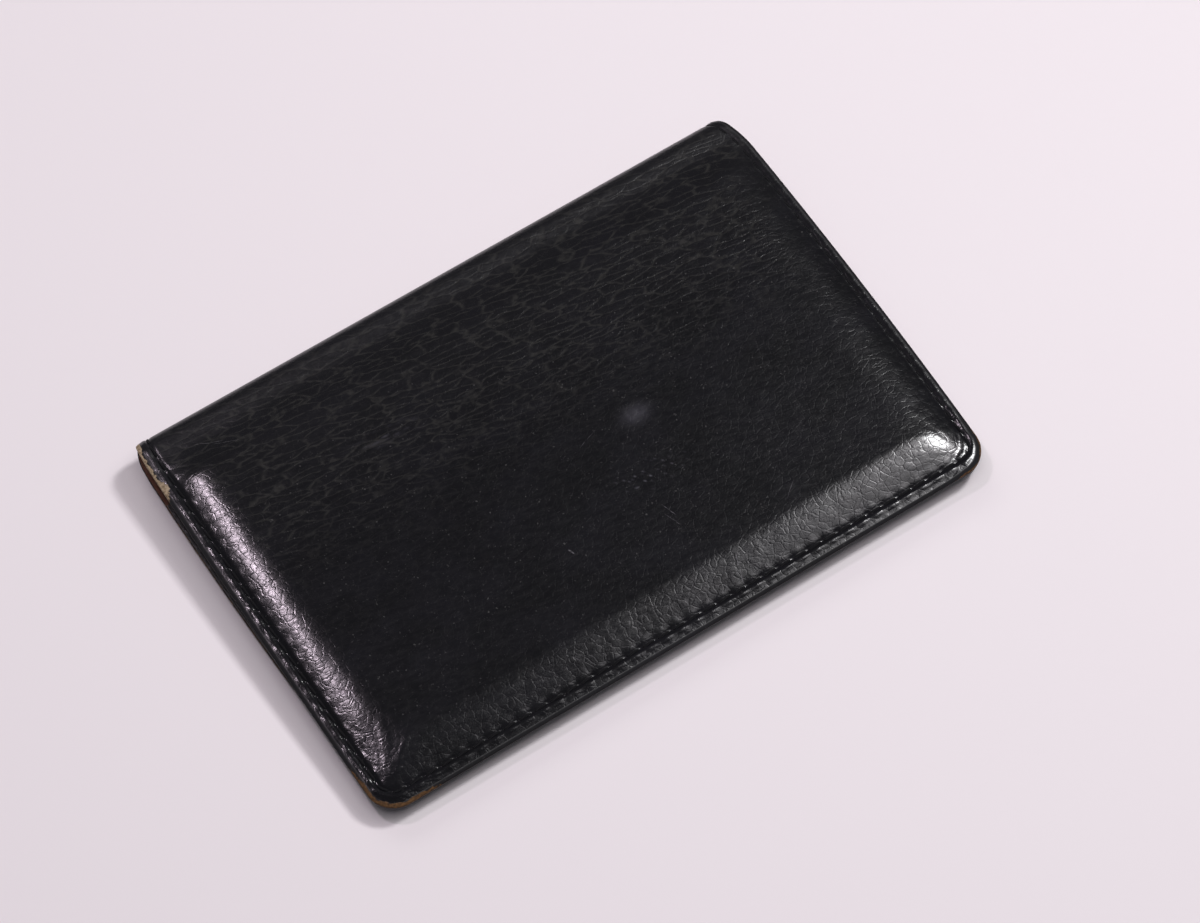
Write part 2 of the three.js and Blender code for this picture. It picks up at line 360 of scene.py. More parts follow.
def rim_shape(x, d, e, to_fore, to_left):
    """The beads beside the seam, the ledge that falls to the fore-edge, and the rolled outline.

    d is the distance inside the outline and e the distance inside the seam.
    """
    beads = 0.05 * bump(e + 0.75, 0.36) + to_fore * 0.03 * bump(d - 1.7, 0.5)
    beads += to_left * (0.015 * bump(d - 1.35, 0.30) + 0.03 * bump(e + 0.45, 0.18))
    ledge = LEDGE_SLOPE * to_fore * (1 - 0.7 * smooth(44.0, 49.0, x)) * np.clip(LEDGE - d, 0, None)
    rolled = 1 - np.sqrt(1 - np.clip(1 - d / ROLL, 0, 1) ** 2)
    return beads - ledge - between(ROLL_DROP, FORE_ROLL_DROP, to_fore) * rolled


def unevenness(side, x, v, d, e, swell, to_left):
    """Soft dents over the padding, ripples on its slopes and on the rim, grain and creases."""
    slope = bump(swell - 0.55, 0.4) * smooth(0.02, 0.3, swell)
    soft = 0.040 * noise(x / 13, v / 11, 12) + 0.012 * noise(x / 4.5, v / 4, 13)
    soft *= smooth(1.0, 7.0, e) * swell
    ripple = slope * (0.012 * noise(x / 1.9, v / 2.6, 14) + 0.007 * noise(x / 0.9, v / 0.8, 15))
    ripple += slope * smooth(40.0, 50.0, v) * (x < 0) * 0.010 * noise(x / 1.1, v / 1.3, 20)
    ripple += bump(d - 1.1, 0.8) * (0.018 + 0.012 * to_left) * noise(x / 0.7, v / 0.7, 19)
    first, second = cells(x / 1.25 + 0.3 * noise(x / 2, v / 2, 16), v / 1.1, 17)
    grain = -0.006 * smooth(0.22, 0.0, second - first) * (0.6 + 0.4 * noise(x / 9, v / 9, 18))
    return soft + ripple + grain + creases(side, x, v) + corner_pulls(side, x, v)


def outer_height(side, x, v):
    """The outside of the leather over the flat rim."""
    e = side.seam_distance(x, v)
    d = side.edge_distance(x, v)
    swell = pillow(side, x, v)
    to_fore = at_fore(side, x, v)
    to_left = (1 - to_fore) * (x < 0)
    height = SWELL * swell + seam_shape(side, x, v, e, to_fore) + rim_shape(x, d, e, to_fore, to_left)
    fade = smooth(0.3, 4.0, v) * smooth(0.15, 0.9, d)
    height += unevenness(side, x, v, d, e, swell, to_left) * fade
    if side is back:
        height = np.minimum(height, SWELL - 0.005)
    return height


# ---- Mesh building ----


def spaced(length, edge_step, middle_step, edge_reach):
    """Positions from 0 to length, closer together near both ends, in PLAIN_STEP * k + 1 points."""
    t = np.linspace(0, length, 4001)
    near = np.minimum(t, length - t)
    step = middle_step - (middle_step - edge_step) * bump(near, edge_reach)
    count = np.concatenate([[0], np.cumsum((1 / step)[:-1] * np.diff(t))])
    total = int(round(count[-1] / PLAIN_STEP)) * PLAIN_STEP
    return np.interp(np.linspace(0, count[-1], total + 1), count, t)


def strip_grid(side, step, inset, v_start=0.0, fine_start=False):
    """Arrays x and v of a grid that fills the strip from v_start, inset from its edges."""
    radius = max(FORE_RADIUS - inset, 1.0)
    end = side.length - inset
    arc = max(int(round(radius * 1.57 / (step * 0.9))), 6)
    from_end = radius * (1 - np.cos(np.linspace(math.pi / 2, 0, arc + 1)))
    rows = [v_start]
    if fine_start:
        rows += [v_start + w * step for w in (0.15, 0.45, 0.95)]
    first = rows[-1]
    middle = int(math.ceil((end - radius - first) / step))
    while (len(rows) + middle + arc - 1) % PLAIN_STEP:
        middle += 1
    rows += list(np.linspace(first, end - radius, middle + 1)[1:])
    rows = np.array(rows + list(end - from_end[1:]))
    across = spaced(2 * HALF_WIDTH, step * 0.72, step, 4.0) / (2 * HALF_WIDTH)
    from_end = np.maximum(end - rows, 0)
    half_chord = np.sqrt(np.maximum(radius**2 - (radius - from_end) ** 2, 0))
    pull = np.where(from_end < radius, radius - half_chord, 0)
    low = side.edge_x(rows, -1) + inset + pull
    high = side.edge_x(rows, 1) - inset - pull
    x = low[:, None] + (high - low)[:, None] * across[None, :]
    v = rows[:, None] + (side.fore_v(x) - side.length) * side.cover_share(rows)[:, None]
    return x, v


def add_object(name, data):
    new = bpy.data.objects.new(name, data)
    bpy.context.scene.collection.objects.link(new)
    return new


def build_mesh(name, points, faces, uv, marks=None):
    """A smooth mesh object from points in millimetres, with its faces turned outward."""
    mesh = bpy.data.meshes.new(name)
    mesh.from_pydata((points * MM).tolist(), [], faces)
    mesh.validate()
    mesh.update()
    loops = np.zeros(len(mesh.loops), np.int32)
    mesh.loops.foreach_get("vertex_index", loops)
    mesh.uv_layers.new(name="strip").data.foreach_set("uv", uv[loops].astype(np.float32).ravel())
    for key, values in (marks or {}).items():
        layer = mesh.attributes.new(key, "FLOAT", "POINT")
        layer.data.foreach_set("value", values.astype(np.float32))
    centres = np.zeros(len(mesh.polygons) * 3)
    normals = np.zeros(len(mesh.polygons) * 3)
    areas = np.zeros(len(mesh.polygons))
    mesh.polygons.foreach_get("center", centres)
    mesh.polygons.foreach_get("normal", normals)
    mesh.polygons.foreach_get("area", areas)
    if ((centres * normals).reshape(-1, 3).sum(1) * areas).sum() < 0:
        mesh.flip_normals()
    mesh.shade_smooth()
    return add_object(name, mesh)


def outline_ring(rows, columns):
    """The grid's outline as (row, column) pairs, once round."""
    ring = [(0, i) for i in range(columns)]
    ring += [(j, columns - 1) for j in range(1, rows)]
    ring += [(rows - 1, i) for i in range(columns - 2, -1, -1)]
    ring += [(j, 0) for j in range(rows - 2, 0, -1)]
    return tuple(np.array(ring).T)


def outward_ways(rx, rv):
    """The direction out of the outline at each of its points."""
    tangent = np.stack([np.roll(rx, -1) - np.roll(rx, 1), np.roll(rv, -1) - np.roll(rv, 1)], 1)
    tangent /= np.linalg.norm(tangent, axis=1)[:, None]
    return np.stack([tangent[:, 1], -tangent[:, 0]], 1)


def edge_levels(top, bottom, rounding):
    """The rings of points from the detailed face to the plain one: how far out, and how high."""
    way = np.sign((bottom - top).mean())
    r1, r2 = rounding
    levels = [(r1 * math.sin(t), top + way * r1 * (1 - math.cos(t))) for t in (0.5, 1.0, math.pi / 2)]
    levels += [(r1 - 0.02, (top + bottom) / 2), (r1, bottom - way * r2)]
    levels += [(r1 - 0.3 * r2, bottom - way * 0.3 * r2), (r1 - r2, bottom)]
    return levels


def plain_faces(lookup):
    """Large faces for the plain side, from the corners that lookup has."""
    faces = []
    rows, columns = lookup.shape
    n = PLAIN_STEP
    for j in range(0, rows - 1, n):
        for i in range(0, columns - 1, n):
            path = [(j, i + k) for k in range(n)] + [(j + k, i + n) for k in range(n)]
            path += [(j + n, i + n - k) for k in range(n)] + [(j + n - k, i) for k in range(n)]
            corners = [int(lookup[p]) for p in path if lookup[p] >= 0]
            faces.append(corners[::-1])
    return faces


def build_strip(name, side, grid, detailed, plain, rounding, closed_at_spine=False, wear=None):
    """A closed sheet over a strip grid: its detailed face, rounded cut edges and a plain face.

    detailed and plain give the height of each face. Where closed_at_spine is set the sheet ends
    square at the middle of the spine, so that it meets the other half of the same sheet.
    """
    x, v = grid
    rows, columns = x.shape
    ring = outline_ring(rows, columns)
    rx, rv = x[ring], v[ring]
    outward = outward_ways(rx, rv)
    if closed_at_spine:
        outward[:columns] = 0
        outward[0], outward[columns - 1] = (-1, 0), (1, 0)
        outward[-1] = (-1, 0)
    top, bottom = detailed(x, v), plain(x, v)
    levels = edge_levels(top[ring], bottom[ring], rounding)
    all_x, all_v, all_h = [x.ravel()], [v.ravel()], [top.ravel()]
    uvs = [np.stack([x.ravel(), v.ravel()], 1)]
    edge = [np.zeros(x.size)]
    for out, h in levels:
        drop = np.abs(h - top[ring])
        all_x.append(rx + outward[:, 0] * out)
        all_v.append(rv + outward[:, 1] * out)
        all_h.append(h)
        uvs.append(np.stack([rx, rv], 1) + outward * (out + drop)[:, None])
        edge.append(drop + 1e-3)
    index = np.arange(rows * columns).reshape(rows, columns)
    quads = np.stack([index[:-1, :-1], index[:-1, 1:], index[1:, 1:], index[1:, :-1]], -1)
    faces = quads.reshape(-1, 4).tolist()
    previous = index[ring]
    base = rows * columns
    for _ in levels:
        here = base + np.arange(len(rx))
        wall = np.stack([np.roll(previous, -1), previous, here, np.roll(here, -1)], 1)
        faces += wall.tolist()
        previous, base = here, base + len(rx)
    lookup = -np.ones((rows, columns), np.int64)
    lookup[ring] = previous
    inner_rows = np.arange(PLAIN_STEP, rows - PLAIN_STEP, PLAIN_STEP)
    inner_columns = np.arange(PLAIN_STEP, columns - PLAIN_STEP, PLAIN_STEP)
    inner = tuple(np.meshgrid(inner_rows, inner_columns, indexing="ij"))
    lookup[inner] = base + np.arange(inner[0].size).reshape(inner[0].shape)
    all_x.append(x[inner].ravel())
    all_v.append(v[inner].ravel())
    all_h.append(bottom[inner].ravel())
    uvs.append(np.stack([all_x[-1], all_v[-1]], 1))
    edge.append(np.full(inner[0].size, INNER))
    faces += plain_faces(lookup)
    all_x, all_v, all_h = (np.concatenate(a) for a in (all_x, all_v, all_h))
    marks = wear(side, all_x, all_v, np.concatenate(edge)) if wear else {}
    piece = build_mesh(name, side.place(all_x, all_v, all_h), faces, np.concatenate(uvs), marks)
    if closed_at_spine:
        sharpen_end(piece.data, all_v)
    return piece


def sharpen_end(mesh, v):
    """Marks the edges in the cut at the middle of the spine as sharp, so that the halves match."""
    ends = np.zeros(len(mesh.edges) * 2, np.int32)
    mesh.edges.foreach_get("vertices", ends)
    at_end = (v[ends] < 1e-6).reshape(-1, 2).all(1)
    layer = mesh.attributes.get("sharp_edge") or mesh.attributes.new("sharp_edge", "BOOLEAN", "EDGE")
    layer.data.foreach_set("value", at_end)


# ---- Wear: where the black has gone, and marks on the leather ----
# edge is 0 on the detailed face, INNER on the plain one, and between them the depth down the cut edge.


SCRATCHES = [  # from, to, half width, strength
    ((-45.5, 7.0), (-41.0, 9.2), 0.05, 0.35),
    ((-43.0, 8.6), (-39.0, 10.6), 0.05, 0.30),
    ((7.0, 53.0), (7.9, 55.8), 0.05, 0.7),
    ((6.6, 54.6), (7.6, 57.6), 0.04, 0.5),
    ((11.8, 65.6), (11.1, 67.6), 0.06, 0.8),
    ((11.1, 67.6), (10.2, 70.2), 0.05, 0.9),
    ((-8.6, 51.9), (-8.0, 53.0), 0.09, 0.9),
    ((-17.6, 66.4), (-16.3, 68.1), 0.05, 0.5),
    ((2.0, 38.9), (6.0, 37.6), 0.04, 0.35),
    ((25.6, 60.4), (22.8, 62.6), 0.05, 0.4),
]


def burnish(side, x, v, edge):
    """Where the cut edge is dyed and rubbed matt: its wall, and the roll above it."""
    corner = smooth(45.0, 50.0, x) * smooth(62.0, 68.0, v)
    top = smooth(0.70 + 0.35 * corner, 0.40 + 0.25 * corner, side.edge_distance(x, v))
    return np.where(edge > 0, edge < INNER, top)


def crease_room(side, x, v):
    """Where the long folds show: away from the seams."""
    e = side.seam_distance(x, v)
    return np.maximum(smooth(1.5, 8.0, e), (1 - smooth(9.0, 12.0, v)) * smooth(0.3, 1.5, e))


def fray(x, v, seed):
    """Noise that makes the border of a worn place ragged."""
    return noise(x / 0.9, v / 0.9, seed) + 0.6 * noise(x / 0.35, v / 0.35, seed + 1)


def front_scuffs(x, v):
    """A rubbed spot, a streaky scuff that follows the grain, and a patch of small pits."""
    spot = bump(np.hypot((x - 12.1) / 2.1, (v - 38.6) / 1.4), 1.0)
    scuff = 0.36 * spot * (1 + 0.3 * noise(x / 0.5, v / 0.5, 33))
    streak = noise((x + v * 0.1) / 1.7, (v - 0.165 * x) / 0.28, 34)
    patch = bump(np.hypot((x + 21.0) / 4.6, (v - 21.6 - 0.1 * (x + 21)) / 1.1), 1.0)
    scuff += 0.40 * patch * smooth(-0.1, 0.9, streak)
    pit, _ = cells(x / 1.1, v / 1.1, 35)
    pitted = bump(np.hypot((x - 8.0) / 5.5, (v - 48.0) / 1.7), 1.0)
    scuff += 0.8 * pitted * smooth(0.16, 0.04, pit)
    return np.clip(scuff, 0, 1)


def front_wear(side, x, v, edge):
    """raw is the worn-through finish, tint goes from cream to brown, scuff is rubbed leather."""
    rough = fray(x, v, 31)
    s = v - HALF_SPINE
    spine_left = np.where(x < 0, (1 - smooth(11.5, 14.0, v)) * smooth(-1.0, 0.6, v), 0)
    patch = np.where(x < 0, bump(v - 10.9, 1.2) + 0.7 * bump(v - 2.6, 1.2), 0)
    right_corner = smooth(57.0, 66.0, s) * smooth(43.0, 50.0, x)
    left_corner = smooth(56.0, 64.0, s) * smooth(-41.0, -48.0, x)
    width = 0.36 * spine_left + 0.62 * patch + 0.16 * right_corner + 0.52 * left_corner
    border = smooth(0.10, -0.06, side.edge_distance(x, v) - width - 0.16 * rough)
    border *= np.clip(spine_left * 2 + right_corner + left_corner, 0, 1)
    rubbed = np.clip(0.15 * rough + 0.75 * left_corner + 0.65 * right_corner + spine_left, 0, 1)
    rubbed *= edge > 0.26
    at_left = x < side.edge_x(v, -1) + 1.5
    lower = smooth(0.30, 0.42, edge) * at_left * np.clip(0.70 + 0.3 * rough, 0, 1)
    raw = np.clip(np.maximum(border, np.maximum(rubbed, lower)), 0, 1) * (edge < INNER)
    marks = {"raw": raw, "tint": np.clip(1 - spine_left, 0, 1), "scuff": front_scuffs(x, v)}
    return marks | {"burnish": burnish(side, x, v, edge), "folds": crease_room(side, x, v)}


def back_wear(side, x, v, edge):
    """The same marks for the back cover, whose left cut edge is bare."""
    along_left = (x < side.edge_x(v, -1) + 1.5) * smooth(6.0, 12.0, v)
    corner = smooth(54.0, 66.0, v - HALF_SPINE) * smooth(40.0, 49.0, np.abs(x))
    raw = np.clip(0.15 * fray(x, v, 41) + 0.55 * along_left + 0.8 * corner, 0, 1)
    raw *= (edge > 0.2) & (edge < INNER)
    tint = np.clip(0.75 + 0.25 * noise(x / 6, v / 6, 43), 0, 1)
    scuff = 0.25 * smooth(0.2, 0.9, noise(x / 9, v / 9, 44)) * smooth(0.2, 1.0, noise(x / 0.6, v / 4, 45))
    marks = {"raw": raw, "tint": tint, "scuff": scuff}
    return marks | {"burnish": burnish(side, x, v, edge), "folds": crease_room(side, x, v)}


# ---- Materials ----


class Nodes:
    """Short ways to write a material's node tree. Most of them return an output socket."""

    def __init__(self, name):
        self.material = bpy.data.materials.new(name)
        self.material.use_nodes = True
        self.tree = self.material.node_tree
        self.tree.nodes.clear()

    def add(self, kind, inputs=None, **settings):
        node = self.tree.nodes.new(kind)
        for key, value in settings.items():
            setattr(node, key, value)
        for key, value in (inputs or {}).items():
            if isinstance(value, bpy.types.NodeSocket):
                self.tree.links.new(value, node.inputs[key])
            else:
                node.inputs[key].default_value = value
        return node

    def math(self, operation, a, b=0.0, clamp=False):
        node = self.add("ShaderNodeMath", {0: a, 1: b}, operation=operation, use_clamp=clamp)
        return node.outputs[0]

    def ramp(self, value, low, high, to_low=0.0, to_high=1.0):
        """value from low..high to to_low..to_high, eased and clamped."""
        node = self.add(
            "ShaderNodeMapRange",
            {"Value": value, "From Min": low, "From Max": high, "To Min": to_low, "To Max": to_high},
            interpolation_type="SMOOTHSTEP",
        )
        return node.outputs["Result"]

    def mix(self, factor, a, b):
        node = self.add("ShaderNodeMix", {0: factor, 6: a, 7: b}, data_type="RGBA")
        return node.outputs[2]

    def mark(self, name):
        return self.add("ShaderNodeAttribute", attribute_name=name).outputs["Fac"]

    def strip(self):
        """x and v in millimetres, from the mesh's own map."""
        return self.add("ShaderNodeUVMap", uv_map="strip").outputs["UV"]

    def scaled(self, vector, scale, turn=0.0):
        """vector turned in the plane of the strip, then scaled."""
        turned = vector
        if turn:
            turned = self.add("ShaderNodeMapping", {"Vector": vector, "Rotation": (0, 0, turn)}).outputs[0]
        return self.add("ShaderNodeMapping", {"Vector": turned, "Scale": scale}).outputs[0]

    def noise(self, vector, scale=1.0, detail=2.0, roughness=0.5):
        return self.add(
            "ShaderNodeTexNoise",
            {"Vector": vector, "Scale": scale, "Detail": detail, "Roughness": roughness},
        ).outputs[0]

    def warped(self, vector, scale, amount):
        """vector moved about by noise, by up to amount."""
        wobble = self.add("ShaderNodeTexNoise", {"Vector": vector, "Scale": scale, "Detail": 2.0}).outputs[1]
        centred = self.add("ShaderNodeVectorMath", {0: wobble, 1: (0.5, 0.5, 0.5)}, operation="SUBTRACT")
        grown = self.add("ShaderNodeVectorMath", {0: centred.outputs[0], "Scale": amount}, operation="SCALE")
        moved = self.add("ShaderNodeVectorMath", {0: vector, 1: grown.outputs[0]}, operation="ADD")
        return moved.outputs[0]

    def cells(self, vector, feature):
        node = self.add("ShaderNodeTexVoronoi", {"Vector": vector, "Scale": 1.0}, feature=feature)
        return node.outputs["Distance"]

    def stroke(self, strip, a, b, half_width):
        """1 on the straight line from a to b of the strip, fading to 0 beside it."""
        length = math.hypot(b[0] - a[0], b[1] - a[1])
        turn = math.atan2(b[1] - a[1], b[0] - a[0])
        moved = self.add("ShaderNodeVectorMath", {0: strip, 1: (*a, 0)}, operation="SUBTRACT")
        inputs = {"Vector": moved.outputs[0], "Rotation": (0, 0, -turn)}
        turned = self.add("ShaderNodeMapping", inputs).outputs[0]
        parts = self.add("ShaderNodeSeparateXYZ", {0: turned})
        beyond = self.math("ABSOLUTE", self.math("SUBTRACT", parts.outputs[0], length / 2))
        across = self.math("ABSOLUTE", parts.outputs[1])
        on = self.ramp(across, 1.6 * half_width, 0.4 * half_width)
        return self.math("MULTIPLY", on, self.ramp(beyond, length / 2, 0.3 * length))

    def bump(self, height, microns, normal=None):
        """Grain that is microns high where height is 1."""
        inputs = {"Height": height, "Distance": microns * MICRON}
        if normal is not None:
            inputs["Normal"] = normal
        return self.add("ShaderNodeBump", inputs).outputs[0]

    def finish(self, inputs):
        shader = self.add("ShaderNodeBsdfPrincipled", inputs)
        output = self.add("ShaderNodeOutputMaterial")
        self.tree.links.new(shader.outputs[0], output.inputs["Surface"])
        return self.material


def residue_and_crease_sheen_lines(n, strip, v, long_cells, round_cells, band):
    """The pale network, partly painted sheen where crease edges catch the light and partly pale residue:
    long cells in the flexed band near the spine, small round ones elsewhere.
    """
    breaks = n.noise(strip, 0.9, 2.0)
    long_line = n.math("MULTIPLY", n.ramp(long_cells, 0.10, 0.0), band)
    round_line = n.math("MULTIPLY", n.ramp(round_cells, 0.050, 0.010), n.ramp(breaks, 0.42, 0.62))
    round_line = n.math("MULTIPLY", round_line, n.ramp(v, 60.0, 20.0, 0.05, 0.40))
    residue_and_sheen_lines = n.math("MAXIMUM", long_line, round_line)
    return n.math("MULTIPLY", residue_and_sheen_lines, n.ramp(breaks, 0.30, 0.65, 0.15, 0.90))


def leather_pores(n, strip, v):
    """Pale residue in the pores, away from the spine."""
    large = n.cells(n.scaled(n.warped(strip, 1.8, 0.5), (0.95, 0.95, 1)), "F1")
    large = n.math("MULTIPLY", n.ramp(large, 0.15, 0.07), n.ramp(n.noise(strip, 0.6, 2.0), 0.42, 0.62))
    small = n.cells(n.scaled(n.warped(strip, 2.5, 0.6), (2.0, 2.4, 1)), "F1")
    small = n.math("MULTIPLY", n.ramp(small, 0.26, 0.10), n.ramp(n.noise(strip, 0.8, 3.0), 0.46, 0.66))
    pores = n.math("MAXIMUM", large, n.math("MULTIPLY", small, 0.55))
    return n.math("MULTIPLY", pores, n.ramp(v, 6.0, 24.0))


def leather_scratches(n, strip):
    frayed = n.ramp(n.noise(strip, 2.2, 2.0), 0.35, 0.6, 0.15, 1.0)
    scratched = 0.0
    for a, b, half_width, strength in SCRATCHES:
        stroke = n.math("MULTIPLY", n.stroke(n.warped(strip, 0.8, 0.5), a, b, half_width), strength)
        scratched = n.math("MAXIMUM", stroke, scratched)
    return n.math("MULTIPLY", scratched, frayed)


def raw_leather(n, strip):
    """Cut and worn-through edges, cream fibres or tan to brown: where they show, and their colour."""
    fibre = n.ramp(n.noise(n.scaled(strip, (2.6, 2.6, 1)), 1.0, 4.0, 0.7), 0.30, 0.70)
    cream = n.mix(fibre, (0.12, 0.085, 0.050, 1), (0.40, 0.31, 0.21, 1))
    brown = n.mix(fibre, (0.025, 0.012, 0.006, 1), (0.130, 0.066, 0.024, 1))
    ragged = n.math("MULTIPLY", n.math("SUBTRACT", fibre, 0.5), 0.5)
    where = n.ramp(n.math("ADD", n.mark("raw"), ragged), 0.35, 0.65)
    return where, n.mix(n.mark("tint"), cream, brown)


def outer_leather_material():
    n = Nodes("outer_leather")
    strip = n.strip()
    parts = n.add("ShaderNodeSeparateXYZ", {0: strip})
    x, v = parts.outputs[0], parts.outputs[1]
    drift = math.radians(-9.5)
    long_cells = n.cells(n.scaled(n.warped(strip, 0.28, 1.3), (0.17, 0.82, 1), drift), "DISTANCE_TO_EDGE")
    round_cells = n.cells(n.scaled(n.warped(strip, 0.45, 1.1), (0.80, 0.92, 1), drift), "DISTANCE_TO_EDGE")
    tiny_cells = n.cells(n.scaled(strip, (2.3, 2.3, 1)), "F1")
    patchy = n.noise(n.scaled(strip, (0.09, 0.13, 1)), 1.0, 3.0)
    band = n.math("MULTIPLY", n.ramp(v, 0.8, 6.0), n.ramp(v, 42.0, 20.0))
    band = n.math("MULTIPLY", band, n.ramp(patchy, 0.15, 0.42))
    band = n.math("MULTIPLY", band, n.mark("folds"))
    # From the black dye up to the marks on it.
    base = n.mix(n.ramp(patchy, 0.35, 0.7), (0.0028, 0.0028, 0.0036, 1), (0.0048, 0.0047, 0.0064, 1))
    base = n.mix(n.ramp(v, 34.0, 8.0, 0.0, 0.40), base, (0.0100, 0.0098, 0.0112, 1))
    # The pale lines are partly painted sheen on the crease edges and partly pale residue in them.
    residue_and_sheen_lines = residue_and_crease_sheen_lines(n, strip, v, long_cells, round_cells, band)
    base = n.mix(residue_and_sheen_lines, base, (0.0235, 0.0228, 0.0215, 1))
    base = n.mix(n.math("MULTIPLY", leather_pores(n, strip, v), 0.65), base, (0.070, 0.068, 0.068, 1))
    base = n.mix(n.math("MULTIPLY", n.mark("scuff"), 0.75), base, (0.090, 0.086, 0.108, 1))
    base = n.mix(leather_scratches(n, strip), base, (0.125, 0.120, 0.130, 1))
    raw, raw_colour = raw_leather(n, strip)
    colour = n.mix(raw, base, raw_colour)
    # Polished by use, duller on the spine, matt where it is worn or burnished.
    smear = n.noise(n.scaled(strip, (0.5, 1.4, 1), drift), 1.0, 4.0, 0.6)
    rough = n.ramp(smear, 0.3, 0.7, 0.17, 0.23)
    rough = n.math("ADD", rough, n.ramp(v, 12.0, 5.0, 0.0, 0.10))
    rough = n.math("ADD", rough, n.math("MULTIPLY", n.mark("scuff"), 0.2))
    rough = n.math("ADD", rough, n.math("MULTIPLY", n.mark("burnish"), 0.70))
    rough = n.math("ADD", rough, n.math("MULTIPLY", raw, 0.4), clamp=True)
    uneven = n.noise(n.scaled(strip, (1.8, 2.9, 1), drift), 1.0, 2.0, 0.5)
    uneven = n.math("MULTIPLY", uneven, n.ramp(x, 25.0, 46.0, 1.0, 0.45))
    normal = n.bump(n.ramp(tiny_cells, 0.0, 0.55), 3.0)
    normal = n.bump(uneven, 8.5, normal)
    normal = n.bump(n.ramp(round_cells, 0.0, 0.12), 6.2, normal)
    normal = n.bump(n.math("MULTIPLY", n.ramp(long_cells, 0.15, 0.0), band), -14.0, normal)
    return n.finish({"Base Color": colour, "Roughness": rough, "Normal": normal})


def lining_material():
    n = Nodes("lining")
    strip = n.strip()
    tone = n.noise(n.scaled(strip, (0.10, 0.22, 1)), 1.0, 4.0, 0.6)
    colour = n.mix(tone, (0.060, 0.017, 0.008, 1), (0.150, 0.050, 0.022, 1))
    spots = n.ramp(n.noise(strip, 1.3, 3.0), 0.60, 0.72)
    colour = n.mix(n.math("MULTIPLY", spots, 0.5), colour, (0.035, 0.015, 0.010, 1))
    grain = n.cells(n.scaled(strip, (2.6, 2.6, 1)), "DISTANCE_TO_EDGE")
    colour = n.mix(n.ramp(grain, 0.12, 0.0, 0.0, 0.45), colour, (0.040, 0.016, 0.009, 1))
    colour = n.mix(n.mark("paint"), colour, (0.008, 0.007, 0.008, 1))
    rough = n.ramp(n.noise(strip, 0.8, 3.0), 0.3, 0.7, 0.52, 0.74)
    normal = n.bump(n.ramp(grain, 0.0, 0.2), 30.0)
    normal = n.bump(n.noise(strip, 4.0, 3.0), 30.0, normal)
    return n.finish({"Base Color": colour, "Roughness": rough, "Normal": normal})


def pocket_material():
    n = Nodes("pocket_leather")
    strip = n.strip()
    tone = n.noise(n.scaled(strip, (0.07, 0.10, 1)), 1.0, 4.0, 0.6)
    colour = n.mix(tone, (0.0075, 0.0075, 0.0085, 1), (0.0150, 0.0145, 0.0155, 1))
    grain = n.cells(n.scaled(n.warped(strip, 0.8, 0.5), (1.7, 1.9, 1)), "DISTANCE_TO_EDGE")
    colour = n.mix(n.ramp(grain, 0.06, 0.0, 0.0, 0.35), colour, (0.040, 0.038, 0.040, 1))
    rubbed = n.math("MULTIPLY", n.mark("raw"), n.ramp(n.noise(strip, 3.0, 3.0), 0.35, 0.6))
    colour = n.mix(rubbed, colour, (0.085, 0.050, 0.030, 1))
    rough = n.ramp(n.noise(n.scaled(strip, (0.3, 0.9, 1)), 1.0, 3.0), 0.3, 0.7, 0.36, 0.52)
    normal = n.bump(n.ramp(grain, 0.0, 0.18), 40.0)
    normal = n.bump(n.noise(strip, 5.0, 3.0), 15.0, normal)
    return n.finish({"Base Color": colour, "Roughness": rough, "Normal": normal})


def thread_material():
    n = Nodes("thread")
    strip = n.strip()
    turned = n.scaled(strip, (1.0, 0.55, 1), math.radians(28))
    inputs = {"Vector": turned, "Scale": 1.6, "Distortion": 0.4}
    twist = n.add("ShaderNodeTexWave", inputs, wave_type="BANDS").outputs["Fac"]
    fuzz = n.noise(n.scaled(strip, (3.0, 9.0, 1)), 1.0, 3.0)
    colour = n.mix(twist, (0.0022, 0.0022, 0.0029, 1), (0.0065, 0.0065, 0.0080, 1))
    colour = n.mix(n.ramp(fuzz, 0.60, 0.78, 0.0, 0.16), colour, (0.035, 0.032, 0.034, 1))
    rough = n.ramp(fuzz, 0.3, 0.7, 0.55, 0.75)
    normal = n.bump(twist, 60.0)
    normal = n.bump(fuzz, 20.0, normal)
    inputs = {"Base Color": colour, "Roughness": rough, "Normal": normal, "Specular IOR Level": 0.25}
    return n.finish(inputs)


def pad_material():
    n = Nodes("pad_felt")
    strip = n.strip()
    fibres = n.noise(n.scaled(strip, (1.2, 6.0, 1)), 1.0, 5.0, 0.7)
    colour = n.mix(fibres, (0.42, 0.38, 0.31, 1), (0.70, 0.66, 0.57, 1))
    normal = n.bump(fibres, 100.0)
    return n.finish({"Base Color": colour, "Roughness": 0.95, "Normal": normal})


def floor_material():
    n = Nodes("table_top")
    where = n.add("ShaderNodeTexCoord").outputs["Object"]
    tone = n.noise(where, 3.0, 2.0)
    colour = n.mix(tone, (0.790, 0.742, 0.762, 1), (0.805, 0.756, 0.778, 1))
    return n.finish({"Base Color": colour, "Roughness": 0.75, "Specular IOR Level": 0.2})


# ---- Pieces ----


def outside(side):
    return lambda x, v: outer_height(side, x, v)


def inside(side):
    """The flesh side of the outer leather, which the pad holds up."""
    return lambda x, v: SWELL * 0.97 * pillow(side, x, v, 0.15) - LEATHER


def pad_top(side):
    return lambda x, v: np.maximum(SWELL * 0.95 * pillow(side, x, v, 0.15) - 0.06, 0.10) - LEATHER


def level(height):
    return lambda x, v: np.full(x.shape, height)


def mouth_lift(v, e):
    """How far the pocket's mouth stands off the lining, between the seams."""
    return MOUTH_LIFT * bump(v - HALF_SPINE - MOUTH_FROM_SPINE, 5.0) * smooth(0.0, 12.0, e)


